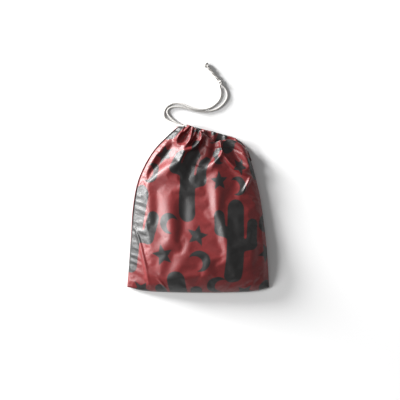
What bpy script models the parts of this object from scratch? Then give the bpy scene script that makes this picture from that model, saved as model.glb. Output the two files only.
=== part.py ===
"""Kinchaku drawstring pouch, lying on its back panel with its mouth drawn half closed.

Two cloth panels meet at a seam down both sides and along the bottom. Each panel's top edge is turned
in to make a casing. One cord runs through both casings, leaves at the pouch's upper left corner as
two strands, and is tied twice. Metres; +X to the right, +Y towards the mouth, +Z up from the surface
that the pouch lies on. The origin is on that surface, under the middle of the pouch.
"""

import math

import bmesh
import bpy
import numpy as np
from mathutils import Vector

# Driving dimensions
CLOTH = 0.0010  # the panels' cloth, with its lining
GAP = 0.0003  # between pieces that touch
FULL_HEIGHT = 0.036  # the filled middle, above the surface
MOUTH_HEIGHT = 0.0184
SIDE_SEAM_HEIGHT = 0.0065  # the seam above the surface, at the middle of a side
BOTTOM_SEAM_HEIGHT = 0.0030
CORD_DIAMETER = 0.003
CASING_RADIUS = 0.0028  # the turned edge, to the middle of its cloth
CASING_DEPTH = 0.012
CORD_SET_BACK = 0.0006  # the cord's middle, behind the centre of the turned edge
TIE_KNOT_SIZE = (0.0080, 0.0070, 0.0062)
END_KNOT_SIZE = (0.0092, 0.0088, 0.0074)

# The panels' outline, seen from above, from the bottom corners up to the two ends of the mouth
LEFT_EDGE = [(-0.1000, -0.1105), (-0.0975, -0.0790), (-0.0945, -0.0340), (-0.0920, 0.0010),
             (-0.0860, 0.0350), (-0.0750, 0.0620), (-0.0610, 0.0840), (-0.0460, 0.0995),
             (-0.0330, 0.1115), (-0.0225, 0.1185)]
RIGHT_EDGE = [(0.1000, -0.1110), (0.0965, -0.0570), (0.0895, 0.0010), (0.0840, 0.0300),
              (0.0770, 0.0560), (0.0722, 0.0720), (0.0680, 0.0900)]
BOTTOM_EDGE = [(-0.1000, -0.1105), (-0.0700, -0.1165), (0.0000, -0.1185), (0.0700, -0.1170),
               (0.1000, -0.1110)]
BACK_MOUTH = [(-0.0225, 0.1185), (-0.0110, 0.1145), (0.0040, 0.1102), (0.0200, 0.1062),
              (0.0345, 0.1020), (0.0510, 0.0972), (0.0680, 0.0900)]
FRONT_MOUTH = [(-0.0225, 0.1185), (-0.0110, 0.1140), (0.0040, 0.1075), (0.0140, 0.0978),
               (0.0225, 0.0925), (0.0320, 0.0945), (0.0480, 0.0955), (0.0680, 0.0900)]

# How much of each half width is flat, from the middle, before the panel curves to its seam
BACK_FLAT_SHARE = 0.76
FRONT_FLAT_SHARE = (0.05, 0.76)  # at the body and at the mouth
BACK_END_SHARE = 0.07  # of the length, over which each panel curves to the bottom seam
FRONT_END_SHARE = 0.34
SEAM_HALF_GAP = 0.5 * (CLOTH + GAP)

COLUMNS, BODY_ROWS, CASING_ROWS, HEM_ROWS = 28, 14, 3, 5
COLUMN_SPREAD = 0.6  # how far the columns are drawn towards the sides, where the panels curve most
EXIT_SHARE = -0.84  # left of this the casings are open, for the cord to come out

# The cord's two strands from the mouth to the tie, and from the tie to the end knot
CORD_LOW = 0.5 * CORD_DIAMETER + 0.0001  # the height of a cord's middle where it lies on the surface
STRAND_BACK = [(-0.0153, 0.1150, 0.0036), (-0.0206, 0.1160, 0.0041), (-0.0268, 0.1184, 0.0032),
               (-0.0340, 0.1236, 0.0020), (-0.0402, 0.1294, CORD_LOW), (-0.0434, 0.1348, CORD_LOW),
               (-0.0426, 0.1394, CORD_LOW), (-0.0380, 0.1424, CORD_LOW), (-0.0300, 0.1434, CORD_LOW),
               (-0.0205, 0.1422, CORD_LOW), (-0.0125, 0.1400, CORD_LOW), (-0.0043, 0.1381, CORD_LOW),
               (0.0037, 0.1370, CORD_LOW), (0.0110, 0.1368, CORD_LOW), (0.0200, 0.1382, CORD_LOW),
               (0.0284, 0.1416, CORD_LOW), (0.0354, 0.1476, CORD_LOW), (0.0400, 0.1546, CORD_LOW),
               (0.0408, 0.1610, CORD_LOW), (0.0392, 0.1668, CORD_LOW), (0.0367, 0.1706, 0.0019),
               (0.0344, 0.1737, 0.0026)]
STRAND_FRONT = [(-0.0150, 0.1147, 0.0148), (-0.0203, 0.1157, 0.0141), (-0.0264, 0.1166, 0.0122),
                (-0.0324, 0.1184, 0.0080), (-0.0387, 0.1216, 0.0034), (-0.0446, 0.1257, CORD_LOW),
                (-0.0476, 0.1296, CORD_LOW),
                (-0.0480, 0.1354, CORD_LOW), (-0.0456, 0.1414, CORD_LOW), (-0.0408, 0.1458, CORD_LOW),
                (-0.0343, 0.1482, CORD_LOW), (-0.0270, 0.1482, 0.0020), (-0.0198, 0.1462, 0.0029),
                (-0.0120, 0.1426, 0.0037), (-0.0040, 0.1402, 0.0040), (0.0040, 0.1392, 0.0038),
                (0.0105, 0.1398, 0.0028), (0.0162, 0.1418, CORD_LOW), (0.0220, 0.1452, CORD_LOW),
                (0.0274, 0.1500, CORD_LOW), (0.0308, 0.1556, CORD_LOW), (0.0322, 0.1612, CORD_LOW),
                (0.0320, 0.1664, CORD_LOW), (0.0312, 0.1704, 0.0019), (0.0306, 0.1733, 0.0026)]
TIE_KNOT_AT = (0.0312, 0.1775, 0.0034)
TAIL_LEFT = [(0.0271, 0.1797, 0.0026), (0.0250, 0.1826, CORD_LOW), (0.0216, 0.1868, CORD_LOW),
             (0.0176, 0.1912, CORD_LOW), (0.0146, 0.1947, CORD_LOW), (0.0129, 0.1966, 0.0022)]
TAIL_RIGHT = [(0.0298, 0.1819, 0.0026), (0.0277, 0.1848, CORD_LOW), (0.0243, 0.1890, CORD_LOW),
              (0.0203, 0.1935, CORD_LOW), (0.0173, 0.1969, CORD_LOW), (0.0156, 0.1988, 0.0022)]
END_KNOT_AT = (0.0111, 0.2015, 0.0038)
CORD_POINTS_APART = 2.2 * CORD_DIAMETER
CASING_POINTS_APART = 1.0 * CORD_DIAMETER  # closer, for the tight turn at the mouth's right end

CLOTH_COLOUR = (0.250, 0.018, 0.020, 1.0)
CORD_COLOUR = (0.780, 0.765, 0.735, 1.0)


def clear_scene():
    for obj in list(bpy.data.objects):
        bpy.data.objects.remove(obj, do_unlink=True)


def make_material(name, colour, roughness):
    material = bpy.data.materials.new(name)
    material.use_nodes = True
    shader = material.node_tree.nodes["Principled BSDF"]
    shader.inputs["Base Color"].default_value = colour
    shader.inputs["Roughness"].default_value = roughness
    shader.inputs["Metallic"].default_value = 0.0
    return material


def smooth_curve(points, samples_per_span=24):
    """Dense samples of a Catmull-Rom curve through the points, evenly spaced along its length."""
    given = np.array(points, float)
    padded = np.vstack([2 * given[0] - given[1], given, 2 * given[-1] - given[-2]])
    samples = []
    for p0, p1, p2, p3 in zip(padded[:-3], padded[1:-2], padded[2:-1], padded[3:]):
        for k in range(samples_per_span):
            u = k / samples_per_span
            samples.append(0.5 * (2 * p1 + (p2 - p0) * u + (2 * p0 - 5 * p1 + 4 * p2 - p3) * u ** 2
                                  + (3 * p1 - p0 - 3 * p2 + p3) * u ** 3))
    samples = np.vstack([samples, given[-1]])
    steps = np.linalg.norm(np.diff(samples, axis=0), axis=1)
    along = np.concatenate([[0], np.cumsum(steps)])
    return samples, along


def point_on(curve, share):
    """The point at this share of the curve's length."""
    samples, along = curve
    wanted = share * along[-1]
    return np.array([np.interp(wanted, along, column) for column in samples.T])


class Panel:
    """One panel's cloth as a surface: across runs from -1 to 1, up from 0 at the bottom to 1."""

    def __init__(self, mouth_edge, is_front):
        self.left = smooth_curve(LEFT_EDGE)
        self.right = smooth_curve(RIGHT_EDGE)
        self.bottom = smooth_curve(BOTTOM_EDGE)
        self.mouth = smooth_curve(mouth_edge)
        self.is_front = is_front

    def plan(self, across, up):
        """The Coons patch between the four edges, seen from above."""
        u = 0.5 * (1 + across)
        left, right = point_on(self.left, up), point_on(self.right, up)
        bottom, mouth = point_on(self.bottom, u), point_on(self.mouth, u)
        corners = ((1 - u) * (1 - up) * self.bottom[0][0] + u * (1 - up) * self.bottom[0][-1]
                   + (1 - u) * up * self.mouth[0][0] + u * up * self.mouth[0][-1])
        return (1 - u) * left + u * right + (1 - up) * bottom + up * mouth - corners

    def height(self, across, up):
        blend = smoothstep(up)
        seam = BOTTOM_SEAM_HEIGHT + (SIDE_SEAM_HEIGHT - BOTTOM_SEAM_HEIGHT) * smoothstep(3 * up)
        seam += (0.5 * MOUTH_HEIGHT - SIDE_SEAM_HEIGHT) * smoothstep(3 * up - 2)
        if not self.is_front:
            drop = curve_down(abs(across), BACK_FLAT_SHARE, 1 - up, 1 - BACK_END_SHARE)
            low = 0.5 * CLOTH
            return low + (seam - SEAM_HALF_GAP - low) * (1 - drop)
        low_flat, mouth_flat = FRONT_FLAT_SHARE
        flat = low_flat + (mouth_flat - low_flat) * smoothstep(2.2 * up - 1.2)
        drop = curve_down(abs(across), flat, 1 - up, 1 - FRONT_END_SHARE)
        top = FULL_HEIGHT + (MOUTH_HEIGHT - FULL_HEIGHT) * blend - 0.5 * CLOTH
        return seam + SEAM_HALF_GAP + (top - seam - SEAM_HALF_GAP) * drop

    def at(self, across, up):
        x, y = self.plan(across, up)
        return np.array([x, y, self.height(across, up)])

    def directions(self, across, up):
        """Unit vectors towards the inside of the pouch and out of its mouth, at this point."""
        step = 1e-3
        low, high = max(-1, across - step), min(1, across + step)
        over = self.at(high, up) - self.at(low, up)
        out = self.at(across, up) - self.at(across, up - step)
        inward = np.cross(over, out) * (-1 if self.is_front else 1)
        return inward / np.linalg.norm(inward), out / np.linalg.norm(out)

    def point(self, across, row):
        """The body's rows, the casing's outer layer, the turned edge, then the inner layer."""
        depth = CASING_DEPTH / self.left[1][-1]
        if row <= BODY_ROWS:
            return self.at(across, (1 - depth) * bottom_spread(row / BODY_ROWS))
        row -= BODY_ROWS
        if row <= CASING_ROWS:
            return self.at(across, 1 - depth * (1 - row / CASING_ROWS))
        row -= CASING_ROWS
        if row <= HEM_ROWS:
            inward, out = self.directions(across, 1)
            turn = math.pi * row / (HEM_ROWS + 1)
            return self.at(across, 1) + CASING_RADIUS * ((1 - math.cos(turn)) * inward
                                                         + math.sin(turn) * out)
        row -= HEM_ROWS + 1
        up = 1 - depth * row / CASING_ROWS
        return self.at(across, up) + 2 * CASING_RADIUS * self.directions(across, up)[0]

    def in_casing(self, across):
        """The middle of the cord where it runs inside the turned edge."""
        inward, out = self.directions(across, 1)
        return self.at(across, 1) + CASING_RADIUS * inward - CORD_SET_BACK * out


def smoothstep(x):
    x = min(1.0, max(0.0, x))
    return x * x * (3 - 2 * x)


def curve_down(across, flat, down, down_flat):
    """1 where the panel is level, falling to 0 on an elliptical curve at its seams."""
    side = max(0.0, across - flat) / (1 - flat)
    end = max(0.0, down - down_flat) / (1 - down_flat)
    return math.sqrt(max(0.0, 1 - side ** 2)) * math.sqrt(max(0.0, 1 - end ** 2))


def side_spread(share):
    """Columns drawn closer together at the side seams."""
    return (1 - COLUMN_SPREAD) * share + COLUMN_SPREAD * math.sin(0.5 * math.pi * share)


def bottom_spread(share):
    """Rows drawn closer together at the bottom seam, where the panel curves most."""
    return share - 0.6 * math.sin(math.pi * share) / math.pi * (1 - share)


def add_panel(name, mouth_edge, is_front, material, collection):
    """A grid laid over the panel's surface, opened at the cord's exit and given its thickness."""
    panel = Panel(mouth_edge, is_front)
    rows = BODY_ROWS + 2 * CASING_ROWS + HEM_ROWS + 1
    bm = bmesh.new()
    bmesh.ops.create_grid(bm, x_segments=COLUMNS, y_segments=rows, size=1.0)
    opened = []
    for vert in bm.verts:
        across = side_spread(vert.co.x)
        row = round(0.5 * (vert.co.y + 1) * rows)
        if across < EXIT_SHARE and row > BODY_ROWS:
            opened.append(vert)
        vert.co = Vector(panel.point(across, row))
    bmesh.ops.delete(bm, geom=opened, context="VERTS")
    mesh = bpy.data.meshes.new(name)
    bm.to_mesh(mesh)
    bm.free()
    mesh.materials.append(material)
    mesh.shade_smooth()
    obj = bpy.data.objects.new(name, mesh)
    collection.objects.link(obj)
    solidify = obj.modifiers.new("cloth", "SOLIDIFY")
    solidify.thickness = CLOTH
    solidify.offset = 0.0
    solidify.use_even_offset = True
    return panel


def add_cord(name, points, material, collection, apart=CORD_POINTS_APART):
    """A cord as a round tube along a smooth curve through the points."""
    curve_samples = smooth_curve(points)
    count = max(3, round(curve_samples[1][-1] / apart) + 1)
    curve = bpy.data.curves.new(name, "CURVE")
    curve.dimensions = "3D"
    curve.bevel_depth = 0.5 * CORD_DIAMETER
    curve.bevel_resolution = 2
    curve.use_fill_caps = True
    spline = curve.splines.new("POLY")
    spline.points.add(count - 1)
    for index, point in enumerate(spline.points):
        point.co = (*point_on(curve_samples, index / (count - 1)), 1.0)
    curve.materials.append(material)
    obj = bpy.data.objects.new(name, curve)
    collection.objects.link(obj)
    return obj


def casing_route(back, front):
    """The cord's way through the casings: along the back one, round its right end, and back."""
    first, last, count = -0.72, 0.98, 30
    shares = [side_spread(first + (last - first) * k / (count - 1)) for k in range(count)]
    there, back_again = ([panel.in_casing(share) for share in shares] for panel in (back, front))
    return there + back_again[::-1]


def add_knot(name, size, place, material, collection):
    """A pulled-tight knot, as a smooth closed lump of its outer size."""
    mesh = bpy.data.meshes.new(name)
    bm = bmesh.new()
    bmesh.ops.create_uvsphere(bm, u_segments=14, v_segments=8, radius=0.5)
    bmesh.ops.scale(bm, vec=Vector(size), verts=bm.verts)
    bm.to_mesh(mesh)
    bm.free()
    mesh.materials.append(material)
    mesh.shade_smooth()
    obj = bpy.data.objects.new(name, mesh)
    obj.location = place
    collection.objects.link(obj)
    return obj


def main():
    clear_scene()
    collection = bpy.data.collections.new("kinchaku_pouch")
    bpy.context.scene.collection.children.link(collection)
    cloth = make_material("printed_cloth", CLOTH_COLOUR, 0.55)
    cord = make_material("cotton_cord", CORD_COLOUR, 0.80)

    back = add_panel("back_panel", BACK_MOUTH, False, cloth, collection)
    front = add_panel("front_panel", FRONT_MOUTH, True, cloth, collection)

    add_cord("drawstring_in_casing", casing_route(back, front), cord, collection, CASING_POINTS_APART)
    add_cord("drawstring_strand_back", STRAND_BACK, cord, collection)
    add_cord("drawstring_strand_front", STRAND_FRONT, cord, collection)
    add_knot("tie_knot", TIE_KNOT_SIZE, TIE_KNOT_AT, cord, collection)
    add_cord("drawstring_tail_left", TAIL_LEFT, cord, collection)
    add_cord("drawstring_tail_right", TAIL_RIGHT, cord, collection)
    add_knot("end_knot", END_KNOT_SIZE, END_KNOT_AT, cord, collection)


main()
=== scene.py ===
"""The kinchaku pouch's looks: printed cloth panels gathered by a braided cotton cord, on a pale floor.

Everything is in metres in the CAD's frame: +X to the right, +Y towards the mouth, +Z up.
Lists of places on the cloth are in millimetres, because a fold is a few millimetres high.
"""
import math

import bmesh
import bpy
import numpy as np
from mathutils import Matrix, Vector


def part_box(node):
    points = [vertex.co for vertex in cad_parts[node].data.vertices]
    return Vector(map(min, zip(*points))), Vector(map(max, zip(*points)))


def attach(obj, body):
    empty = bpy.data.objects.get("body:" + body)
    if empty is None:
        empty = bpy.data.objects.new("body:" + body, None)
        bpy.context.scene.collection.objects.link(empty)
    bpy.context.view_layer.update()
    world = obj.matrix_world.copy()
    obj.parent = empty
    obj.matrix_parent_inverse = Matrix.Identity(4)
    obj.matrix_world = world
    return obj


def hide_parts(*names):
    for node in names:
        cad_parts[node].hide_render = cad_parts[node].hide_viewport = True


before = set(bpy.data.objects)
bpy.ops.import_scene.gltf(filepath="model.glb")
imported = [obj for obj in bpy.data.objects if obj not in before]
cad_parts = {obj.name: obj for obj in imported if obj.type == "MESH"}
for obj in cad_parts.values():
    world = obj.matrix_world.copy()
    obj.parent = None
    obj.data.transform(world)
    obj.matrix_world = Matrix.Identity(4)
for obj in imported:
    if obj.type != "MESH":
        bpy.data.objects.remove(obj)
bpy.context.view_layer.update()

MM = 0.001

# The panels' outline, as in the CAD
LEFT_EDGE = [(-0.1000, -0.1105), (-0.0975, -0.0790), (-0.0945, -0.0340), (-0.0920, 0.0010),
             (-0.0860, 0.0350), (-0.0750, 0.0620), (-0.0610, 0.0840), (-0.0460, 0.0995),
             (-0.0330, 0.1115), (-0.0225, 0.1185)]
RIGHT_EDGE = [(0.1000, -0.1110), (0.0965, -0.0570), (0.0895, 0.0010), (0.0840, 0.0300),
              (0.0785, 0.0520), (0.0745, 0.0660), (0.0705, 0.0780)]
BOTTOM_EDGE = [(-0.1000, -0.1105), (-0.0700, -0.1165), (0.0000, -0.1185), (0.0700, -0.1170),
               (0.1000, -0.1110)]
BACK_MOUTH = [(-0.0225, 0.1185), (-0.0110, 0.1145), (0.0040, 0.1102), (0.0200, 0.1062),
              (0.0345, 0.1020), (0.0500, 0.0975), (0.0630, 0.0890), (0.0705, 0.0780)]
FRONT_MOUTH = [(-0.0225, 0.1185), (-0.0110, 0.1140), (0.0040, 0.1075), (0.0140, 0.0978),
               (0.0225, 0.0925), (0.0320, 0.0945), (0.0460, 0.0945), (0.0600, 0.0880),
               (0.0705, 0.0780)]

# Heights of the cloth's outer face above the floor
FULL_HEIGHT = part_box("front_panel")[1].z
CROWN_HEIGHT = FULL_HEIGHT + 0.005  # near the bottom, before the curves towards the seams lower it
MOUTH_HEIGHT = 0.0175
SIDE_SEAM_HEIGHT = 0.0065
BOTTOM_SEAM_HEIGHT = 0.0030

CLOTH = 0.0007  # the cloth's thickness
CLOTH_WIDTH = 0.210  # of a panel's flat cut
CLOTH_LENGTH = 0.262
PANEL_LENGTH = 0.235  # as it lies, to the back mouth
FRONT_LENGTH = 0.230  # the front's mouth lies lower
HALF_WIDTH = 0.090
SEAM_INSET = 0.0020  # the back panel shows this far beyond the front one, along the left side
BACK_PRINT_SHIFT = (0.040, -0.110)  # where the back panel was cut from the same printed cloth

# The grid of a panel: its rows run from side to side, its columns from the bottom to the mouth
ROWS, COLUMNS = 196, 190
FINE_COLUMNS = 900  # of the first grid, which is then spaced evenly along the cloth

# Puckers along the sewn seams
PUCKER_DEPTH = 0.0003
SIDE_PUCKER_STEP, BOTTOM_PUCKER_STEP = 0.011, 0.013
SIDE_PUCKER_DRIFT = 0.037  # the side puckers crowd and spread over this length

# The hem, which is the cord's casing
HEM_RADIUS = 0.0024
HEM_DEPTH = 0.012
HEM_ROWS, LINING_ROWS = 7, 10
EXIT_COLUMNS = 14  # at the left corner the hems are open, for the cord to come out
STITCH_LENGTH, STITCH_GAP, STITCH_RADIUS = 0.0022, 0.0009, 0.00024
STITCH_SINK = 0.0003  # a stitch's ends go this far into the cloth
STITCH_LIFT = 0.0001

# The front panel's cloth simulation
SETTLING_STEPS = 12
SETTLING_SLACK = 0.008  # the cloth is cut this share too large
SETTLING_HOLD = 0.12  # how firmly the middle is held to its shape; the edges are held fully

# Folds of the front panel, drawn from the mouth downwards: x, y, height, width on the left, width on
# the right, all in millimetres. A negative height is a hollow.
FRONT_FOLDS = [
    # the pleats at the cord's exit
    [(-19, 117, 2.6, 1.6, 1.4), (-24, 108, 3.2, 2.2, 1.6), (-30, 99, 2.2, 3.0, 2.4), (-36, 90, 0, 4, 4)],
    [(-13.5, 114, 3.2, 1.5, 1.3), (-20, 108, 3.4, 1.8, 1.4), (-26, 104, 3.0, 2, 1.6),
     (-30, 95, 2.0, 3, 2), (-31, 86, 0, 4, 3)],
    [(-8.5, 111.5, 3.6, 1.4, 1.3), (-10.5, 101, 3.6, 1.8, 1.6), (-15, 92, 3.6, 2.2, 2.0),
     (-20, 85, 3.0, 3.0, 2.4), (-24, 75, 0, 4, 3)],
    [(-3.5, 110.5, 3.4, 1.4, 1.3), (-5.5, 102, 3.2, 1.7, 1.5), (-10.5, 94.5, 2.6, 2.2, 1.8),
     (-15, 90, 0, 3, 2)],
    # the main ridge, which runs on as a broad band to the left side
    [(3.3, 110, 4.2, 1.6, 1.5), (4.6, 100, 5.0, 2.2, 1.8), (0.5, 92, 5.6, 2.8, 2.2),
     (-6, 86, 5.8, 3.2, 2.8), (-17, 81, 5.6, 3.8, 3.0), (-23.5, 73, 5.2, 4.2, 3.8),
     (-28, 65, 5.0, 5, 6), (-40, 58, 4.6, 7, 9), (-54, 51, 3.8, 8, 12), (-70, 42, 2.2, 8, 12),
     (-80, 36, 0, 8, 12)],
    # the hollows between the pleats
    [(-13, 112, -2.0, 2, 2), (-18, 104, -4.2, 3.6, 3.2), (-22, 97, -4.0, 4, 3.4), (-25, 89, 0, 4, 3)],
    [(-4, 104, -1.5, 2, 2), (-5.5, 98, -3.8, 2.6, 2.6), (-9.5, 91, -3.6, 3.2, 2.8), (-14, 86, 0, 3, 3)],
    # the left shoulder and its hollow
    [(-40, 100, 1.2, 5, 5), (-50, 91, 2.6, 5, 6), (-61, 74, 3.2, 5, 6), (-73, 54, 2.6, 5, 6),
     (-79, 38, 0, 5, 5)],
    [(-33, 92, -2.0, 5, 5), (-42, 80, -5.0, 6, 6), (-54, 65, -6.0, 7, 7), (-66, 50, -4.5, 6, 6),
     (-76, 38, 0, 5, 5)],
    # the hollow right of the main ridge
    [(10, 102, -1.0, 2, 3), (7, 92, -3.0, 3, 4), (1, 78, -4.4, 5, 5), (-8, 62, -3.6, 6, 7),
     (-14, 44, -2.4, 7, 8), (-18, 24, 0, 8, 9)],
    # the pocket behind the mouth's dip, and the narrow ridge beside it
    [(23, 92, -2.2, 4, 3.5), (22, 82, -4.2, 5, 4), (17, 68, -3.2, 5, 5), (8, 54, 0, 6, 6)],
    [(30.5, 95, 3.4, 1.6, 1.6), (32, 86, 4.4, 1.7, 1.8), (32.5, 78, 4.6, 2.2, 2.4),
     (27, 69, 4.2, 3.0, 4.0), (17, 59, 3.0, 4, 6), (11, 49, 0, 5, 6)],
    [(32.5, 78, 1.5, 2.0, 1.8), (39.5, 69.5, 3.2, 2.0, 2.2), (49, 59, 3.2, 2.2, 2.4),
     (59, 52, 2.6, 2.2, 2.4), (70.5, 46.5, 1.8, 2.2, 2.2), (78, 42, 0, 3, 3)],
    [(74, 47, 0, 2, 2), (70, 37, 2.4, 1.8, 2.2), (65.5, 28, 1.8, 2, 2.4), (61, 18, 0, 3, 3)],
    # the hollow under the right shoulder
    [(41, 92, -1.5, 4, 4), (49, 80, -4.0, 6, 5), (58, 66, -4.2, 6, 5), (68, 56, 0, 5, 5)],
    [(47, 95, 0, 3, 3), (60, 84, 1.6, 4, 4), (69, 68, 2.2, 4, 4), (75, 52, 0, 4, 4)],
    # the flat patch below the right crease
    [(43, 54, -2.0, 6, 6), (52, 40, -2.8, 8, 8), (50, 22, -1.4, 8, 8), (48, 8, 0, 8, 8)],
    # the broad ridge down the body
    [(25, 62, 1.5, 6, 6), (26, 40, 4.2, 8, 9), (26.5, 15, 4.6, 8, 9), (28, -6, 4.0, 8, 8),
     (34, -24, 3.0, 7, 9), (41, -56, 2.2, 7, 9), (48, -92, 0, 8, 9)],
    # soft valleys of the body's left half
    [(-17, 30, 0, 8, 8), (-21, 5, -2.6, 9, 9), (-22, -24, -2.8, 9, 9), (-26, -52, -2.0, 9, 9),
     (-38, -76, -2.4, 9, 9), (-46, -98, 0, 8, 8)],
    [(-46, 28, 0, 9, 9), (-42, 2, 1.6, 10, 10), (-37, -34, 2.2, 10, 10), (-44, -58, 0, 10, 10)],
    [(-68, 40, 0, 9, 8), (-70, 18, 3.0, 9, 9), (-71, -20, 3.2, 9, 9), (-70, -60, 2.8, 9, 9),
     (-69, -100, 1.2, 8, 8), (-69, -114, 0, 7, 7)],
    # thin creases towards the bottom corners
    [(-92, -14, 0, 1.5, 1.5), (-88, -30, 1.6, 1.5, 1.6), (-81.5, -50, 2.0, 1.6, 2.0),
     (-73, -86, 1.8, 1.8, 2.2), (-69.5, -108, 0, 2, 2)],
    [(-60, -92, 0, 1.2, 1.2), (-52, -103, 1.3, 1.2, 1.5), (-43, -115, 0.6, 1.2, 1.5)],
    [(18, -62, 0, 6, 6), (12, -84, 1.6, 7, 7), (8, -108, 0, 6, 6)],
    [(80, 0, 0, 6, 5), (84, -30, -1.8, 6, 5), (86, -60, -1.6, 6, 5), (84, -92, 0, 6, 5)],
]
BACK_FOLDS = [
    [(-12, 116, 2.2, 1.8, 1.8), (-18, 100, 2.0, 3, 3), (-26, 84, 0, 4, 4)],
    [(-3, 112, 2.4, 1.8, 1.8), (-6, 96, 2.0, 3, 3), (-10, 74, 0, 4, 4)],
    [(8, 109, 2.4, 2.0, 2.0), (6, 92, 2.2, 3, 3), (4, 66, 0, 5, 5)],
    [(22, 106, 2.0, 2.4, 2.4), (22, 88, 2.0, 4, 4), (20, 60, 0, 6, 6)],
    [(38, 101, 1.8, 2.8, 2.8), (40, 84, 1.8, 4, 4), (42, 58, 0, 6, 6)],
    [(54, 96, 1.4, 3, 3), (57, 80, 1.4, 4, 4), (62, 58, 0, 5, 5)],
]

# The cord: its strands from the mouth to the tie and its tails to the end knot, as in the CAD
CORD_DIAMETER = 0.003
CORD_LOW = 0.5 * CORD_DIAMETER + 0.0001  # the height of a cord's middle where it lies on the floor
STRAND_BACK = [(-0.0153, 0.1150, 0.0036), (-0.0206, 0.1160, 0.0041), (-0.0268, 0.1184, 0.0032),
               (-0.0340, 0.1236, 0.0020), (-0.0402, 0.1294, CORD_LOW), (-0.0434, 0.1348, CORD_LOW),
               (-0.0426, 0.1394, CORD_LOW), (-0.0380, 0.1424, CORD_LOW), (-0.0300, 0.1434, CORD_LOW),
               (-0.0205, 0.1422, CORD_LOW), (-0.0125, 0.1400, CORD_LOW), (-0.0043, 0.1381, CORD_LOW),
               (0.0037, 0.1370, CORD_LOW), (0.0110, 0.1368, CORD_LOW), (0.0200, 0.1382, CORD_LOW),
               (0.0284, 0.1416, CORD_LOW), (0.0354, 0.1476, CORD_LOW), (0.0400, 0.1546, CORD_LOW),
               (0.0408, 0.1610, CORD_LOW), (0.0392, 0.1668, CORD_LOW), (0.0367, 0.1706, 0.0019),
               (0.0344, 0.1737, 0.0026)]
STRAND_FRONT = [(-0.0150, 0.1147, 0.0148), (-0.0203, 0.1157, 0.0141), (-0.0264, 0.1166, 0.0122),
                (-0.0324, 0.1184, 0.0080), (-0.0387, 0.1216, 0.0034), (-0.0446, 0.1257, CORD_LOW),
                (-0.0476, 0.1296, CORD_LOW), (-0.0480, 0.1354, CORD_LOW), (-0.0456, 0.1414, CORD_LOW),
                (-0.0408, 0.1458, CORD_LOW), (-0.0343, 0.1482, CORD_LOW), (-0.0270, 0.1482, 0.0020),
                (-0.0198, 0.1462, 0.0029), (-0.0120, 0.1426, 0.0037), (-0.0040, 0.1402, 0.0040),
                (0.0040, 0.1392, 0.0038), (0.0105, 0.1398, 0.0028), (0.0162, 0.1418, CORD_LOW),
                (0.0220, 0.1452, CORD_LOW), (0.0274, 0.1500, CORD_LOW), (0.0308, 0.1556, CORD_LOW),
                (0.0322, 0.1612, CORD_LOW), (0.0320, 0.1664, CORD_LOW), (0.0312, 0.1704, 0.0019),
                (0.0306, 0.1733, 0.0026)]
TIE_KNOT_AT = (0.0312, 0.1775, 0.0034)
TIE_KNOT_SIZE = (0.0074, 0.0068, 0.0058)
TAIL_START = (0.0285, 0.1806, 0.0034)
TAIL_END = (0.0142, 0.1978, 0.0034)
TAIL_TURNS = 1.25
END_KNOT_AT = (0.0111, 0.2015, 0.0038)
END_KNOT_SIZE = (0.0088, 0.0084, 0.0070)


# Curves

def smooth_curve(points, samples_per_span=24):
    """Dense samples of a Catmull-Rom curve through the points."""
    given = np.array(points, float)
    padded = np.vstack([2 * given[0] - given[1], given, 2 * given[-1] - given[-2]])
    samples = []
    for p0, p1, p2, p3 in zip(padded[:-3], padded[1:-2], padded[2:-1], padded[3:]):
        for k in range(samples_per_span):
            u = k / samples_per_span
            samples.append(0.5 * (2 * p1 + (p2 - p0) * u + (2 * p0 - 5 * p1 + 4 * p2 - p3) * u ** 2
                                  + (3 * p1 - p0 - 3 * p2 + p3) * u ** 3))
    return np.vstack([samples, given[-1]])


def length_along(samples):
    steps = np.linalg.norm(np.diff(samples, axis=0), axis=1)
    return np.concatenate([[0], np.cumsum(steps)])


def evenly(samples, count):
    """This many points, evenly spaced along the line through the samples."""
    along = length_along(samples)
    wanted = np.linspace(0, along[-1], count)
    return np.stack([np.interp(wanted, along, column) for column in samples.T], axis=1)


def smoothstep(x):
    x = np.clip(x, 0, 1)
    return x * x * (3 - 2 * x)


# Objects

def add_mesh(name, points, faces, uvs=None, smooth=True):
    """A mesh object. uvs, when given, holds one point on the cloth for each vertex."""
    mesh = bpy.data.meshes.new(name)
    mesh.from_pydata([tuple(p) for p in points], [], faces)
    if uvs is not None:
        layer = mesh.uv_layers.new(name="cloth")
        corners = np.empty(len(mesh.loops), np.int32)
        mesh.loops.foreach_get("vertex_index", corners)
        layer.data.foreach_set("uv", np.asarray(uvs, np.float32)[corners].ravel())
    if smooth:
        mesh.shade_smooth()
    obj = bpy.data.objects.new(name, mesh)
    bpy.context.scene.collection.objects.link(obj)
    return obj


def grid_faces(rows, columns, closed=False, skip=None):
    """Quads over a grid of points; closed joins its last column to its first."""
    faces = []
    for r in range(rows - 1):
        for c in range(columns if closed else columns - 1):
            d = (c + 1) % columns
            if skip is None or not skip(r, c):
                faces.append((r * columns + c, r * columns + d, (r + 1) * columns + d,
                              (r + 1) * columns + c))
    return faces


# Materials

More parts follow.
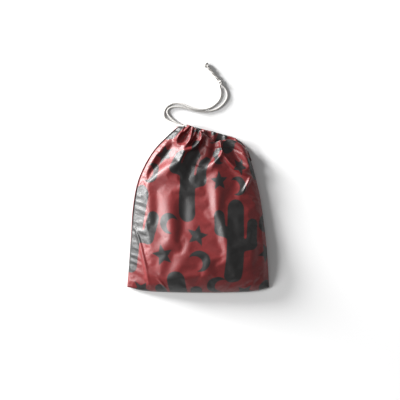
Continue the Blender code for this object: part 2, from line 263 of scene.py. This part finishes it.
class Nodes:
    """Builds a material's nodes. A number or vector argument may be a socket or a plain value."""

    def __init__(self, name):
        self.material = bpy.data.materials.new(name)
        self.material.use_nodes = True
        self.tree = self.material.node_tree
        self.shader = self.tree.nodes["Principled BSDF"]

    def node(self, kind, inputs, output=0, **settings):
        made = self.tree.nodes.new(kind)
        for key, value in settings.items():
            setattr(made, key, value)
        for key, value in inputs.items():
            self.feed(made.inputs[key], value)
        return made.outputs[output]

    def feed(self, socket, value):
        if isinstance(value, bpy.types.NodeSocket):
            self.tree.links.new(value, socket)
        else:
            socket.default_value = value

    def math(self, operation, *values):
        return self.node("ShaderNodeMath", dict(enumerate(values)), operation=operation)

    def vector(self, operation, *values, output=0):
        return self.node("ShaderNodeVectorMath", dict(enumerate(values)), output, operation=operation)

    def length(self, vector):
        return self.vector("LENGTH", vector, output="Value")

    def mix(self, share, low, high):
        return self.node("ShaderNodeMix", {0: share, 6: low, 7: high}, 2, data_type="RGBA")

    def band(self, value, low, high, start=0.0, end=1.0):
        """A smooth step from start to end as the value goes from low to high."""
        return self.node("ShaderNodeMapRange", {"Value": value, "From Min": low, "From Max": high,
                                                "To Min": start, "To Max": end},
                         interpolation_type="SMOOTHSTEP")

    def noise(self, vector, scale, detail=2.0, roughness=0.5):
        return self.node("ShaderNodeTexNoise", {"Vector": vector, "Scale": scale, "Detail": detail,
                                                "Roughness": roughness}, "Fac")

    def uv(self):
        return self.node("ShaderNodeUVMap", {}, uv_map="cloth")

    def set(self, **sockets):
        for key, value in sockets.items():
            self.feed(self.shader.inputs[key.replace("_", " ")], value)


# The print: black figures on red, repeating every TILE across and along the cloth. Each star and
# crescent is its place, turn and radius, and each cactus its place and turn.
TILE = (0.150, 0.190)
STARS = [(-0.003, -0.038, 0.2, 0.0155), (-0.051, -0.070, -0.3, 0.0150), (0.067, 0.064, 0.5, 0.0150),
         (0.029, 0.040, -0.1, 0.0145)]
CRESCENTS = [(-0.045, -0.026, 0.35, 0.0140), (0.000, -0.074, 2.6, 0.0150), (0.061, 0.034, 2.9, 0.0140),
             (0.026, 0.079, 0.1, 0.0145)]
STAR_NOTCH = 0.46  # the inner corners' share of a star's radius
CACTI = [(0.052, -0.042, 0.10), (-0.026, 0.044, -0.14)]
# A cactus's limbs, the stem first: start, end and radius
CACTUS = [((0, -0.052), (0, 0.044), 0.0125), ((0, -0.012), (0.024, -0.006), 0.0085),
          ((0.024, -0.006), (0.026, 0.022), 0.0085), ((0, 0.004), (-0.023, 0.010), 0.0080),
          ((-0.023, 0.010), (-0.025, 0.030), 0.0080)]


def at_place(nodes, uv, place, turn):
    """The cloth's coordinates from the nearest repeat of this place, turned."""
    moved = nodes.vector("SUBTRACT", uv, (*place, 0))
    wrapped = nodes.vector("WRAP", moved, (0.5 * TILE[0], 0.5 * TILE[1], 1),
                           (-0.5 * TILE[0], -0.5 * TILE[1], -1))
    return nodes.node("ShaderNodeVectorRotate", {"Vector": wrapped, "Angle": turn},
                      rotation_type="Z_AXIS")


def star_distance(nodes, point, radius):
    """Distance outside a five-pointed star, folded onto one half of one of its points."""
    split = nodes.tree.nodes.new("ShaderNodeSeparateXYZ")
    nodes.feed(split.inputs[0], point)
    angle = nodes.math("ARCTAN2", split.outputs[0], split.outputs[1])
    folded = nodes.math("PINGPONG", angle, math.pi / 5)
    reach = nodes.length(point)
    tip = Vector((radius, 0))
    notch = STAR_NOTCH * radius * Vector((math.cos(math.pi / 5), math.sin(math.pi / 5)))
    normal = Vector((notch.y - tip.y, tip.x - notch.x)).normalized()
    lean = math.atan2(normal.y, normal.x)
    from_edge = nodes.math("MULTIPLY", reach, nodes.math("COSINE", nodes.math("SUBTRACT", folded, lean)))
    return nodes.math("SUBTRACT", from_edge, normal.dot(tip))


def crescent_distance(nodes, point, radius):
    """Distance outside a disc with a smaller disc taken from its side."""
    disc = nodes.math("SUBTRACT", nodes.length(point), radius)
    bite_from = nodes.vector("SUBTRACT", point, (0.52 * radius, 0, 0))
    bite = nodes.math("SUBTRACT", 0.74 * radius, nodes.length(bite_from))
    return nodes.math("SMOOTH_MAX", disc, bite, 0.0016)


def limb_distance(nodes, point, start, end, radius):
    """Distance outside a limb with round ends."""
    along = Vector((*end, 0)) - Vector((*start, 0))
    offset = nodes.vector("SUBTRACT", point, (*start, 0))
    share = nodes.math("DIVIDE", nodes.vector("DOT_PRODUCT", offset, along, output="Value"),
                       along.length_squared)
    share = nodes.node("ShaderNodeClamp", {"Value": share})
    scaled = nodes.tree.nodes.new("ShaderNodeVectorMath")
    scaled.operation = "SCALE"
    scaled.inputs[0].default_value = along
    nodes.feed(scaled.inputs["Scale"], share)
    rest = nodes.vector("SUBTRACT", offset, scaled.outputs[0])
    return nodes.math("SUBTRACT", nodes.length(rest), radius)


def print_cover(nodes, uv):
    """1 inside the printed figures, 0 outside, with a slightly soft edge."""
    distances = []
    for x, y, turn, radius in STARS:
        distances.append(star_distance(nodes, at_place(nodes, uv, (x, y), turn), radius))
    for x, y, turn, radius in CRESCENTS:
        distances.append(crescent_distance(nodes, at_place(nodes, uv, (x, y), turn), radius))
    for x, y, turn in CACTI:
        point = at_place(nodes, uv, (x, y), turn)
        whole = limb_distance(nodes, point, *CACTUS[0])
        for limb in CACTUS[1:]:
            whole = nodes.math("SMOOTH_MIN", whole, limb_distance(nodes, point, *limb), 0.004)
        distances.append(whole)
    nearest = distances[0]
    for distance in distances[1:]:
        nearest = nodes.math("MINIMUM", nearest, distance)
    ragged = nodes.math("MULTIPLY_ADD", nodes.noise(uv, 900, 3), 0.0012, -0.0006)
    nearest = nodes.math("ADD", nearest, ragged)
    return nodes.band(nearest, -0.0004, 0.0005, 1.0, 0.0)


WEAVE_SPACING = 0.00055  # between two threads


def weave(nodes, uv):
    """Height of a plain weave: warp and weft pass over each other in turn."""
    scaled = nodes.vector("MULTIPLY", uv, (math.pi / WEAVE_SPACING, math.pi / WEAVE_SPACING, 0))
    split = nodes.tree.nodes.new("ShaderNodeSeparateXYZ")
    nodes.feed(split.inputs[0], scaled)
    across = nodes.math("SINE", split.outputs[0])
    along = nodes.math("SINE", split.outputs[1])
    crossing = nodes.math("MULTIPLY", across, along)
    threads = nodes.math("ADD", nodes.math("ABSOLUTE", across), nodes.math("ABSOLUTE", along))
    return nodes.math("MULTIPLY_ADD", crossing, 0.5, nodes.math("MULTIPLY", threads, 0.3))


def sewing_thread():
    nodes = Nodes("sewing_thread")
    twist = nodes.noise(nodes.uv(), 3000, 2)
    nodes.set(Base_Color=nodes.mix(twist, (0.085, 0.006, 0.007, 1), (0.150, 0.010, 0.012, 1)),
              Roughness=nodes.band(twist, 0.3, 0.7, 0.45, 0.65))
    return nodes.material


RED = (0.138, 0.0048, 0.0060, 1)
FADED_RED = (0.180, 0.0100, 0.0110, 1)
BLACK = (0.0075, 0.0070, 0.0070, 1)
FADED_BLACK = (0.0150, 0.0135, 0.0135, 1)


def printed_cloth():
    """Red cotton with a black print and a satin finish, a little faded in clouds."""
    nodes = Nodes("printed_cotton_sateen")
    uv = nodes.uv()
    cloudy = nodes.noise(uv, 38, 4, 0.6)
    slubs = nodes.noise(nodes.vector("MULTIPLY", uv, (1.0, 0.16, 1)), 1500, 2)
    red = nodes.mix(nodes.band(cloudy, 0.35, 0.7), RED, FADED_RED)
    black = nodes.mix(nodes.band(cloudy, 0.4, 0.75), BLACK, FADED_BLACK)
    colour = nodes.mix(print_cover(nodes, uv), red, black)
    threads = weave(nodes, uv)
    # painted shade in the weave: the low points between the threads are darker; the slubs vary the tone at
    # random
    weave_shade_and_slub_tone = nodes.math("MULTIPLY_ADD", threads, 0.20, nodes.math("MULTIPLY_ADD", slubs, 0.5, 0.66))
    colour = nodes.vector("MULTIPLY", colour, nodes.node("ShaderNodeCombineXYZ",
                                                       {0: weave_shade_and_slub_tone, 1: weave_shade_and_slub_tone, 2: weave_shade_and_slub_tone}))
    rough = nodes.math("MULTIPLY_ADD", slubs, 0.24, 0.32)
    relief = nodes.math("MULTIPLY_ADD", threads, 0.35, nodes.noise(uv, 620, 3, 0.65))
    bump = nodes.node("ShaderNodeBump", {"Height": relief, "Strength": 0.22, "Distance": 0.0009})
    nodes.set(Base_Color=colour, Roughness=rough, Normal=bump, Specular_IOR_Level=0.7,
              Sheen_Weight=0.02, Sheen_Roughness=0.4, Sheen_Tint=(1.0, 0.93, 0.91, 1))
    return nodes.material


CORD_WHITE = (0.52, 0.505, 0.485, 1)
CORD_SOILED = (0.44, 0.425, 0.405, 1)
# painted shade: the colour that the braid's grooves are darkened towards
CORD_GROOVE_SHADE = (0.30, 0.285, 0.27, 1)


def cotton_cord():
    """Off-white cotton; the braid's own shape is in the mesh, and its grooves are darkened with painted
    shade.
    """
    nodes = Nodes("braided_cotton")
    uv = nodes.uv()
    fibres = nodes.noise(nodes.vector("MULTIPLY", uv, (1.0, 0.35, 1)), 2600, 3, 0.6)
    soil = nodes.noise(uv, 60, 3)
    colour = nodes.mix(nodes.band(soil, 0.35, 0.75), CORD_WHITE, CORD_SOILED)
    groove_shade_share = nodes.node("ShaderNodeAttribute", {}, "Fac", attribute_name="groove_shade")
    # painted shade: the cord is darker in the grooves between the braid's strands
    colour = nodes.mix(nodes.math("MULTIPLY", groove_shade_share, 0.55), colour, CORD_GROOVE_SHADE)
    bump = nodes.node("ShaderNodeBump", {"Height": fibres, "Strength": 0.35, "Distance": 0.0002})
    nodes.set(Base_Color=colour, Roughness=nodes.band(fibres, 0.2, 0.8, 0.62, 0.85), Normal=bump,
              Specular_IOR_Level=0.35, Sheen_Weight=0.25, Sheen_Roughness=0.5)
    return nodes.material


# The cord

BRAID_STRANDS = 8
BRAID_PITCH = 0.0085  # one turn of a braid strand round the cord
BRAID_DEPTH = 0.07  # the share of the radius by which the braid's strands stand out
CORD_SIDES = 24
CORD_STEP = 0.00028
HEM_CORD_RADIUS = 0.0012  # the cord pressed together in its casing
HEM_CORD_COLUMNS = slice(EXIT_COLUMNS - 6, -16, 2)  # the stretch of the hems that it fills


def add_cord(name, route, material, radius=0.5 * CORD_DIAMETER, step=CORD_STEP):
    """A braided cord along the route: a tube whose surface has the braid's crossing strands."""
    samples = smooth_curve(route)
    count = max(8, round(length_along(samples)[-1] / step))
    middle = evenly(samples, count)
    along = length_along(middle)
    tangent = np.gradient(middle, axis=0)
    tangent /= np.linalg.norm(tangent, axis=1)[:, None]
    side = np.cross(tangent, (0, 0, 1))
    side /= np.linalg.norm(side, axis=1)[:, None]
    up = np.cross(side, tangent)
    turn = 2 * math.pi * np.arange(CORD_SIDES) / CORD_SIDES
    twist = 2 * math.pi * along[:, None] / BRAID_PITCH
    half = 0.5 * BRAID_STRANDS
    over = np.maximum(np.cos(half * (turn + twist)), np.cos(half * (turn - twist)))
    reach = radius * (1 - BRAID_DEPTH + BRAID_DEPTH * over)
    ends = np.minimum(along, along[-1] - along)[:, None] / (0.6 * radius)
    reach = reach * np.sqrt(np.clip(1 - (1 - np.clip(ends, 0, 1)) ** 2, 0.02, 1))
    points = (middle[:, None] + reach[..., None] * (np.cos(turn)[None, :, None] * side[:, None]
                                                    + np.sin(turn)[None, :, None] * up[:, None]))
    uvs = np.stack(np.broadcast_arrays(radius * turn[None, :], along[:, None]), axis=-1)
    faces = grid_faces(count, CORD_SIDES, closed=True)
    faces.append(tuple(range(CORD_SIDES))[::-1])
    faces.append(tuple((count - 1) * CORD_SIDES + c for c in range(CORD_SIDES)))
    obj = add_mesh(name, points.reshape(-1, 3), faces, uvs.reshape(-1, 2))
    # how deep each point lies in a groove between the braid's strands; the material darkens it there as
    # painted shade
    groove_shade = obj.data.attributes.new("groove_shade", "FLOAT", "POINT")
    groove_shade.data.foreach_set("value", np.clip(0.6 - over, 0, 1).astype(np.float32).ravel())
    obj.data.materials.append(material)
    return obj, middle


def twisted_tail(side):
    """One of the two tails, which wind round each other from the tie to the end knot."""
    start, end = np.array(TAIL_START), np.array(TAIL_END)
    across = np.cross(end - start, (0, 0, 1))
    across /= np.linalg.norm(across)
    points = []
    for share in np.linspace(0, 1, 13):
        turn = 2 * math.pi * TAIL_TURNS * share
        reach = side * 0.52 * CORD_DIAMETER
        points.append(start + (end - start) * share + reach * math.cos(turn) * across
                      + reach * math.sin(turn) * np.array((0, 0, 1)))
    return points


def place_cord(piece, nodes):
    """Says what the piece rides on and which CAD nodes it stands for."""
    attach(piece, "root")
    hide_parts(*nodes)


def hem_route(rows, inward):
    """The cord's way inside a panel's turned edge, from the exit to the mouth's right end."""
    edge = rows[ROWS - 1, HEM_CORD_COLUMNS]
    return [tuple(p + (0, -0.0004, inward * HEM_RADIUS)) for p in edge]


def add_knot(name, place, size, heading, material):
    """An overhand knot pulled tight: a cord on an open trefoil, flattened to the knot's size."""
    turns = np.linspace(0.12, 2 * math.pi - 0.12, 40)
    loop = np.stack([np.sin(turns) + 2 * np.sin(2 * turns), np.cos(turns) - 2 * np.cos(2 * turns),
                     -1.2 * np.sin(3 * turns)], axis=1)
    radius = 0.42 * CORD_DIAMETER
    loop *= (0.5 * np.array(size) - radius) / np.abs(loop).max(axis=0)
    spin = np.array(Matrix.Rotation(heading, 3, "Z"))
    route = loop @ spin.T + np.array(place)
    obj, _ = add_cord(name, route, material, radius)
    return obj


def make_cords(material):
    """The two strands with their tails, and the two knots, which both strands run into."""
    tie = add_knot("tie_knot_cord", TIE_KNOT_AT, TIE_KNOT_SIZE, 2.2, material)
    end = add_knot("end_knot_cord", END_KNOT_AT, END_KNOT_SIZE, 0.7, material)
    place_cord(tie, ["tie_knot"])
    place_cord(end, ["end_knot"])
    for name, strand, tail, nodes in (
            ("drawstring_back", STRAND_BACK, twisted_tail(1),
             ["drawstring_strand_back", "drawstring_tail_right"]),
            ("drawstring_front", STRAND_FRONT, twisted_tail(-1),
             ["drawstring_strand_front", "drawstring_tail_left"])):
        route = [*strand, TIE_KNOT_AT, *tail, END_KNOT_AT]
        piece, middle = add_cord(name, route, material)
        place_cord(piece, nodes)


# The panels

def fold_heights(x, y, folds):
    """Sum of the folds' heights at these places. All in metres, except in the folds' own lists."""
    total = np.zeros_like(x)
    for fold in folds:
        line = MM * smooth_curve(fold, 5)
        nearest = np.full(x.shape, np.inf)
        height = np.zeros_like(x)
        width = np.ones_like(x)
        for a, b in zip(line[:-1], line[1:]):
            run = b[:2] - a[:2]
            share = ((x - a[0]) * run[0] + (y - a[1]) * run[1]) / run.dot(run)
            share = np.clip(share, 0, 1)
            dx, dy = x - a[0] - share * run[0], y - a[1] - share * run[1]
            distance = np.hypot(dx, dy)
            closer = distance < nearest
            here = a + share[..., None] * (b - a)
            on_right = smoothstep(0.5 + 0.5 * (run[0] * dy - run[1] * dx)
                                  / (np.hypot(*run) * np.maximum(0.35 * distance, 1e-6)))
            nearest = np.where(closer, distance, nearest)
            height = np.where(closer, here[..., 2], height)
            width = np.where(closer, here[..., 3] + (here[..., 4] - here[..., 3]) * on_right, width)
        width = np.maximum(width, 0.5 * MM)
        total += height * np.exp(-(nearest / width) ** 2 * 0.8)
    return total


def curve_down(across, flat, down, down_flat, slant=0.0):
    """1 where the panel is level, falling to 0 at its seams: on an ellipse, or with slant more evenly."""
    side = np.clip((across - flat) / (1 - flat), 0, 1)
    end = np.clip((down - down_flat) / (1 - down_flat), 0, 1)
    ellipse = np.sqrt(1 - side ** 2)
    even = 0.5 + 0.5 * np.cos(math.pi * side)
    return (ellipse + slant * (even - ellipse)) * np.sqrt(1 - end ** 2)


def seam_pucker(x, across, from_side, from_bottom):
    """Ripples of the cloth where it is sewn, which fade away from the seams."""
    crowding = 1.7 * np.sin(from_bottom * 2 * math.pi / SIDE_PUCKER_DRIFT)
    turn = from_bottom * 2 * math.pi / SIDE_PUCKER_STEP + 5 * across + crowding
    side = np.sin(turn) * np.exp(-from_side / 0.006)
    bottom = np.sin(x * 2 * math.pi / BOTTOM_PUCKER_STEP + 2) * np.exp(-from_bottom / 0.007)
    return side + 0.8 * bottom


def panel_height(x, y, across, up, is_front):
    """Heights of a panel: its crown, its folds, its puckers and the dent of its casing's seam.
    across goes from -1 at the left seam to 1 at the right, and up from 0 at the bottom to 1."""
    seam = BOTTOM_SEAM_HEIGHT + (SIDE_SEAM_HEIGHT - BOTTOM_SEAM_HEIGHT) * smoothstep(3 * up)
    seam += (0.5 * MOUTH_HEIGHT - SIDE_SEAM_HEIGHT) * smoothstep(3 * up - 2)
    from_side = (1 - np.abs(across)) * HALF_WIDTH
    from_bottom = up * FRONT_LENGTH
    pucker = seam_pucker(x, across, from_side, from_bottom)
    hold = smoothstep(from_side / 0.010) * smoothstep(from_bottom / 0.008)
    from_mouth = (1 - up) * PANEL_LENGTH
    seam_dent = 0.0008 * np.exp(-((from_mouth - HEM_DEPTH) / 0.0014) ** 2)
    if is_front:
        flat = 0.30 + 0.46 * smoothstep(2.2 * up - 1.2)
        slant = 0.5 * smoothstep(-across / 0.3)
        drop = curve_down(np.abs(across), flat, 1 - up, 0.66, slant)
        top = CROWN_HEIGHT + (MOUTH_HEIGHT - CROWN_HEIGHT) * smoothstep(up)
        folds = fold_heights(x, y, FRONT_FOLDS)
        near_edge = PUCKER_DEPTH * pucker * smoothstep(from_side / 0.002)
        return seam + (top - seam) * drop + folds * hold + near_edge - seam_dent
    drop = curve_down(np.abs(across), 0.76, 1 - up, 0.93)
    folds = fold_heights(x, y, BACK_FOLDS)
    lying = 0.0004
    return lying + (seam - 0.0012 - lying) * (1 - drop) + folds * hold


def panel_grid(mouth_edge, is_front):
    """The panel's rows of points, spaced evenly along the cloth in each row, with their places on it."""
    left = evenly(smooth_curve(LEFT_EDGE), ROWS)[:, None]
    if is_front:
        shown = smoothstep(np.linspace(-0.8, 3.2, ROWS)) * smoothstep(np.linspace(16, 0, ROWS))
        left = left + SEAM_INSET * shown[:, None, None] * (0.9, -0.3)
    right = evenly(smooth_curve(RIGHT_EDGE), ROWS)[:, None]
    bottom = evenly(smooth_curve(BOTTOM_EDGE), FINE_COLUMNS)[None]
    mouth = evenly(smooth_curve(mouth_edge), FINE_COLUMNS)[None]
    u = np.linspace(0, 1, FINE_COLUMNS)[None, :, None]
    v = np.linspace(0, 1, ROWS)[:, None, None]
    corners = ((1 - u) * (1 - v) * bottom[:, :1] + u * (1 - v) * bottom[:, -1:]
               + (1 - u) * v * mouth[:, :1] + u * v * mouth[:, -1:])
    plan = (1 - u) * left + u * right + (1 - v) * bottom + v * mouth - corners
    x, y = plan[..., 0], plan[..., 1]
    across, up = np.broadcast_arrays(2 * u[..., 0] - 1, v[..., 0])
    z = panel_height(x, y, across, up, is_front)
    fine = np.stack([x, y, z], axis=-1)
    rows = np.stack([evenly(row, COLUMNS) for row in fine])
    steps = np.linalg.norm(np.diff(rows, axis=0), axis=-1)
    along = np.vstack([np.zeros(COLUMNS), np.cumsum(steps, axis=0)])
    along = 0.5 * along + 0.5 * along.mean(axis=1)[:, None]
    cloth_x = np.linspace(-0.5, 0.5, COLUMNS)[None, :] * CLOTH_WIDTH
    uvs = np.stack(np.broadcast_arrays(cloth_x, along - 0.5 * CLOTH_LENGTH), axis=-1)
    return rows, uvs


def hold_edges(obj, count_x, count_y):
    """Gives the vertex group that holds the cloth: fully at its edges, loosely inside."""
    edge_x = np.minimum(np.arange(count_x), np.arange(count_x)[::-1])
    edge_y = np.minimum(np.arange(count_y) * 1.5, np.arange(count_y)[::-1])
    inside = smoothstep(np.minimum(edge_x[None, :], edge_y[:, None]) / 6)
    weights = (1 + (SETTLING_HOLD - 1) * inside).ravel()
    group = obj.vertex_groups.new(name="held")
    for index, weight in enumerate(weights):
        group.add([index], float(weight), "REPLACE")


def add_cloth_modifier(obj):
    cloth = obj.modifiers.new("cloth", "CLOTH")
    cloth.settings.quality = 8
    cloth.settings.mass = 0.2
    cloth.settings.tension_stiffness = 20
    cloth.settings.compression_stiffness = 20
    cloth.settings.shear_stiffness = 8
    cloth.settings.bending_stiffness = 6.0
    cloth.settings.shrink_min = -SETTLING_SLACK
    cloth.settings.vertex_group_mass = "held"
    cloth.settings.pin_stiffness = 1.0
    cloth.settings.effector_weights.gravity = 0
    cloth.settings.use_pressure = True
    cloth.settings.uniform_pressure_force = 0.4
    cloth.collision_settings.use_collision = False


def spread(moved, shape):
    """The coarse grid's moves, interpolated to a grid of this shape with twice as many rows and columns."""
    count_y, count_x = moved.shape[:2]
    at_x = np.arange(shape[1]) / 2
    at_y = np.arange(shape[0]) / 2
    wide = np.stack([[np.interp(at_x, np.arange(count_x), line) for line in moved[..., k]]
                     for k in range(3)], axis=-1)
    full = np.stack([[np.interp(at_y, np.arange(count_y), wide[:, c, k]) for c in range(wide.shape[1])]
                     for k in range(3)], axis=-1)
    return full.transpose(1, 0, 2)


def settled(rows):
    """The rows after a cloth simulation on every other point: slack cloth, held loosely to its shape."""
    coarse = rows[::2, ::2]
    count_y, count_x = coarse.shape[:2]
    obj = add_mesh("settling_cloth", coarse.reshape(-1, 3), grid_faces(count_y, count_x))
    hold_edges(obj, count_x, count_y)
    add_cloth_modifier(obj)
    for step in range(1, SETTLING_STEPS + 1):
        bpy.context.scene.frame_set(step)
    graph = bpy.context.evaluated_depsgraph_get()
    mesh = obj.evaluated_get(graph).to_mesh()
    points = np.empty(len(mesh.vertices) * 3)
    mesh.vertices.foreach_get("co", points)
    moved = points.reshape(count_y, count_x, 3) - coarse
    bpy.data.objects.remove(obj, do_unlink=True)
    bpy.context.scene.frame_set(1)
    return rows + spread(moved, rows.shape)


def add_hem(rows, uvs, inward):
    """Adds the edge turned in over the cord, and the layer that runs back inside.
    inward is 1 where the inside is above the panel, and -1 where it is below."""
    out = rows[-1] - rows[-4]
    out /= np.linalg.norm(out, axis=1)[:, None]
    inner = np.array((0, 0, inward), float)
    added, added_uvs = [], []
    steps = np.linalg.norm(rows[-1] - rows[-2], axis=1).mean()
    for k in range(1, HEM_ROWS + 1):
        turn = math.pi * k / (HEM_ROWS + 1)
        added.append(rows[-1] + HEM_RADIUS * ((1 - math.cos(turn)) * inner + math.sin(turn) * out))
        added_uvs.append(uvs[-1] + (0, HEM_RADIUS * turn))
    for k in range(LINING_ROWS + 1):
        depth = HEM_DEPTH * k / LINING_ROWS
        row = min(ROWS - 1, round(depth / steps))
        added.append(rows[-1 - row] + 2 * HEM_RADIUS * inner)
        added_uvs.append(uvs[-1] + (0, HEM_RADIUS * math.pi + depth))
    return np.concatenate([rows, added]), np.concatenate([uvs, added_uvs])


def remove_loose_vertices(obj):
    bm = bmesh.new()
    bm.from_mesh(obj.data)
    loose = [v for v in bm.verts if not v.link_faces]
    bmesh.ops.delete(bm, geom=loose, context="VERTS")
    bm.to_mesh(obj.data)
    bm.free()


def add_panel(name, node, mouth_edge, is_front, material):
    """A cloth panel with its hem, open at the left corner. Returns it with all its rows of points."""
    rows, uvs = panel_grid(mouth_edge, is_front)
    if is_front:
        rows = settled(rows)
    if not is_front:
        uvs = uvs + BACK_PRINT_SHIFT
    rows, uvs = add_hem(rows, uvs, -1 if is_front else 1)

    def open_for_cord(r, c):
        return r >= ROWS - 1 and c < EXIT_COLUMNS

    faces = grid_faces(len(rows), COLUMNS, skip=open_for_cord)
    if not is_front:
        faces = [face[::-1] for face in faces]
    obj = add_mesh(name, rows.reshape(-1, 3), faces, uvs.reshape(-1, 2))
    remove_loose_vertices(obj)
    obj.data.materials.append(material)
    thick = obj.modifiers.new("thickness", "SOLIDIFY")
    thick.thickness = CLOTH
    thick.offset = -1.0
    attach(obj, "root")
    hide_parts(node)
    return obj, rows


def add_stitches(name, rows, row, material, lift):
    """A line of running stitches along a row of a panel, lying this far from the cloth's outer face."""
    line = rows[row, EXIT_COLUMNS:-2] + (0, 0, lift)
    along = length_along(line)
    samples, sides = 7, 8
    points, faces = [], []
    turn = 2 * math.pi * np.arange(sides) / sides
    for start in np.arange(0.001, along[-1] - STITCH_LENGTH, STITCH_LENGTH + STITCH_GAP):
        at = np.linspace(start, start + STITCH_LENGTH, samples)
        middle = np.stack([np.interp(at, along, column) for column in line.T], axis=1)
        sink = np.abs(np.linspace(-1, 1, samples)) ** 3
        middle[:, 2] -= np.sign(lift) * STITCH_SINK * sink
        tangent = middle[-1] - middle[0]
        side = np.cross(tangent, (0, 0, 1))
        side /= np.linalg.norm(side)
        reach = STITCH_RADIUS * np.sqrt(1.04 - np.linspace(-1, 1, samples) ** 2)
        ring = (np.cos(turn)[:, None] * side + np.sin(turn)[:, None] * np.array((0, 0, 1)))
        first = len(points)
        points.extend((middle[:, None] + reach[:, None, None] * ring[None]).reshape(-1, 3))
        faces.extend([tuple(first + v for v in face) for face in grid_faces(samples, sides, closed=True)])
        faces.append(tuple(first + v for v in range(sides))[::-1])
        faces.append(tuple(first + (samples - 1) * sides + v for v in range(sides)))
    obj = add_mesh(name, points, faces, [(p[0], p[1]) for p in points])
    obj.data.materials.append(material)
    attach(obj, "root")
    return obj


# The room

def add_floor():
    size = 3.0
    floor = add_mesh("floor", [(-size, -size, 0), (size, -size, 0), (size, size, 0), (-size, size, 0)],
                     [(0, 1, 2, 3)], smooth=False)
    nodes = Nodes("paper")
    nodes.set(Base_Color=(0.86, 0.86, 0.86, 1), Roughness=0.9, Specular_IOR_Level=0.1)
    floor.data.materials.append(nodes.material)


def add_light(name, distance, heading, height, size, power):
    """A round soft light aimed at the pouch. heading and height are in degrees, from +X and the floor."""
    heading, height = math.radians(heading), math.radians(height)
    place = distance * Vector((math.cos(height) * math.cos(heading),
                               math.cos(height) * math.sin(heading), math.sin(height)))
    data = bpy.data.lights.new(name, "AREA")
    data.shape = "DISK"
    data.size = size
    data.energy = power
    obj = bpy.data.objects.new(name, data)
    obj.location = place
    obj.rotation_euler = (-place).to_track_quat("-Z", "Y").to_euler()
    bpy.context.scene.collection.objects.link(obj)


def make_room():
    """A white floor under one low light, which draws the folds, and one higher, for the cloth's shine."""
    add_floor()
    add_light("low_key", distance=4.6, heading=149, height=14, size=1.7, power=640)
    add_light("sheen_key", distance=3.2, heading=178, height=35, size=1.0, power=78)
    world = bpy.data.worlds.new("studio")
    world.use_nodes = True
    background = world.node_tree.nodes["Background"]
    background.inputs["Color"].default_value = (1, 1, 1, 1)
    background.inputs["Strength"].default_value = 0.26
    bpy.context.scene.world = world
    bpy.context.scene.view_settings.view_transform = "Standard"


def make_camera():
    """Straight above the pouch, far off with a long lens."""
    distance, seen_width = 3.0, 0.564
    middle_x, middle_y = 0.0025, 0.012
    data = bpy.data.cameras.new("camera")
    data.sensor_width = 36
    data.lens = data.sensor_width * distance / seen_width
    data.clip_end = 20
    obj = bpy.data.objects.new("camera", data)
    obj.location = (middle_x, middle_y, distance)
    bpy.context.scene.collection.objects.link(obj)
    bpy.context.scene.camera = obj


make_camera()
cord_material = cotton_cord()
make_cords(cord_material)
make_room()

cloth_material = printed_cloth()
back, back_rows = add_panel("back_cloth", "back_panel", BACK_MOUTH, False, cloth_material)
front, front_rows = add_panel("front_cloth", "front_panel", FRONT_MOUTH, True, cloth_material)
thread = sewing_thread()
stitch_row = ROWS - 1 - round(HEM_DEPTH / (PANEL_LENGTH / ROWS))
front_stitches = add_stitches("front_hem_stitches", front_rows, stitch_row, thread, STITCH_LIFT)
back_stitches = add_stitches("back_hem_stitches", back_rows, stitch_row, thread, -STITCH_LIFT)

round_the_mouth = hem_route(back_rows, 1) + hem_route(front_rows, -1)[::-1]
casing_cord, _ = add_cord("drawstring_in_hem", round_the_mouth, cord_material, HEM_CORD_RADIUS,
                          2 * CORD_STEP)
place_cord(casing_cord, ["drawstring_in_casing"])
